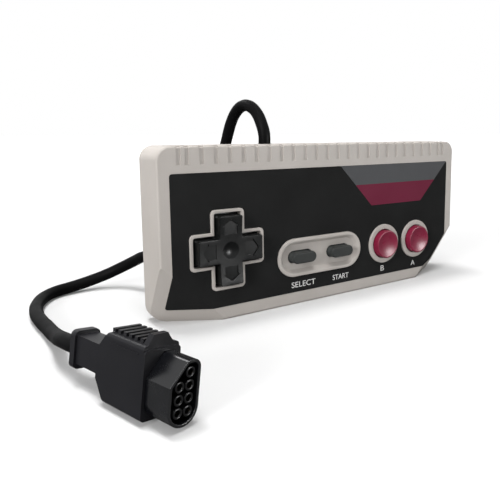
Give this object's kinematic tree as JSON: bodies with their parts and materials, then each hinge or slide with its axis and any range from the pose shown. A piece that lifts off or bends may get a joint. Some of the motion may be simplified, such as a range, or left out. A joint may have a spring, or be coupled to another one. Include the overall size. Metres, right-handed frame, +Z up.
{
  "type": "wired game controller",
  "caption": "Slim rectangular wired game controller with a rocking cross, round buttons, small keys, a grooved top edge, a long coiled cord and a multi-pin plug.",
  "frame": {"origin": "on the floor, under the middle of the controller's case, cord and plug left out", "axes": "+X to the right along the case as seen from the front, +Y back through its depth, +Z up; the case stands on its lower long edge with its buttons facing -Y"},
  "size_m": [0.1526, 0.1476, 0.0683],
  "materials": {
    "case_plastic": "fine matte moulded ABS, warm light grey",
    "panel_black": "satin black moulded plate",
    "stripe_grey": "printed satin slate grey",
    "stripe_maroon": "printed satin maroon",
    "cross_plastic": "satin charcoal plastic",
    "button_plastic": "glossy maroon plastic",
    "key_plastic": "satin dark grey-green plastic",
    "bead_plastic": "natural acetal",
    "sheet_rubber": "soft grey silicone rubber",
    "pill_rubber": "carbon-filled rubber",
    "board_laminate": "green solder mask",
    "part_black": "black moulded epoxy",
    "resistor_tan": "lacquered tan body",
    "capacitor_blue": "blue shrink sleeve",
    "socket_white": "ivory nylon",
    "wire_red": "red insulation",
    "cord_black": "satin black flexible sheath",
    "tie_black": "black nylon band",
    "plug_black": "matte black overmoulding",
    "steel": "zinc-plated steel",
    "contact_metal": "gold-flashed brass",
    "legend_white": "printed off-white ink"
  },
  "bodies": {
    "case": {"front_shell": "case_plastic", "rear_shell": "case_plastic", "faceplate": "panel_black", "grey_stripe": "stripe_grey", "maroon_stripe": "stripe_maroon", "cross_sheet": "sheet_rubber", "button_sheet": "sheet_rubber", "key_sheet": "sheet_rubber", "circuit_board": "board_laminate", "control_chip": "part_black", "chip_legs": "steel", "resistors": "resistor_tan", "capacitor": "capacitor_blue", "wire_socket": "socket_white", "cord_wires": "wire_red", "cord_lead": "cord_black", "lead_tie": "tie_black", "cord_grommet": "cord_black", "board_screws": "steel", "case_screws": "steel", "cord_arch": "cord_black", "cord_coil": "cord_black", "coil_tie": "tie_black", "cord_run": "cord_black", "plug_body": "plug_black", "plug_hood": "plug_black", "plug_insert": "plug_black", "plug_contacts": "contact_metal"},
    "bead": {"cross_bead": "bead_plastic"},
    "cross": {"cross": "cross_plastic", "cross_studs": "sheet_rubber", "cross_pills": "pill_rubber"},
    "button_a": {"button_a": "button_plastic", "stud_a": "sheet_rubber", "pill_a": "pill_rubber"},
    "button_b": {"button_b": "button_plastic", "stud_b": "sheet_rubber", "pill_b": "pill_rubber"},
    "select_key": {"select_key": "key_plastic", "stud_select": "sheet_rubber", "pill_select": "pill_rubber"},
    "start_key": {"start_key": "key_plastic", "stud_start": "sheet_rubber", "pill_start": "pill_rubber"}
  },
  "joints": [
    {"name": "cross_tilt_up_down", "type": "hinge", "parent": "case", "child": "bead", "pos_m": [-0.0402, -0.00415, 0.022], "axis": [1, 0, 0], "range_deg": [-3.5, 3.5], "stiffness_Nm_per_rad": 0.15},
    {"name": "cross_tilt_left_right", "type": "hinge", "parent": "bead", "child": "cross", "pos_m": [-0.0402, -0.00415, 0.022], "axis": [0, 0, 1], "range_deg": [-3.5, 3.5], "stiffness_Nm_per_rad": 0.15},
    {"name": "button_a_press", "type": "slide", "parent": "case", "child": "button_a", "axis": [0, 1, 0], "range_m": [0, 0.0014], "stiffness_N_per_m": 400, "springref_m": -0.0005},
    {"name": "button_b_press", "type": "slide", "parent": "case", "child": "button_b", "axis": [0, 1, 0], "range_m": [0, 0.0014], "stiffness_N_per_m": 400, "springref_m": -0.0005},
    {"name": "select_press", "type": "slide", "parent": "case", "child": "select_key", "axis": [0, 1, 0], "range_m": [0, 0.0012], "stiffness_N_per_m": 400, "springref_m": -0.0005},
    {"name": "start_press", "type": "slide", "parent": "case", "child": "start_key", "axis": [0, 1, 0], "range_m": [0, 0.0012], "stiffness_N_per_m": 400, "springref_m": -0.0005}
  ]
}
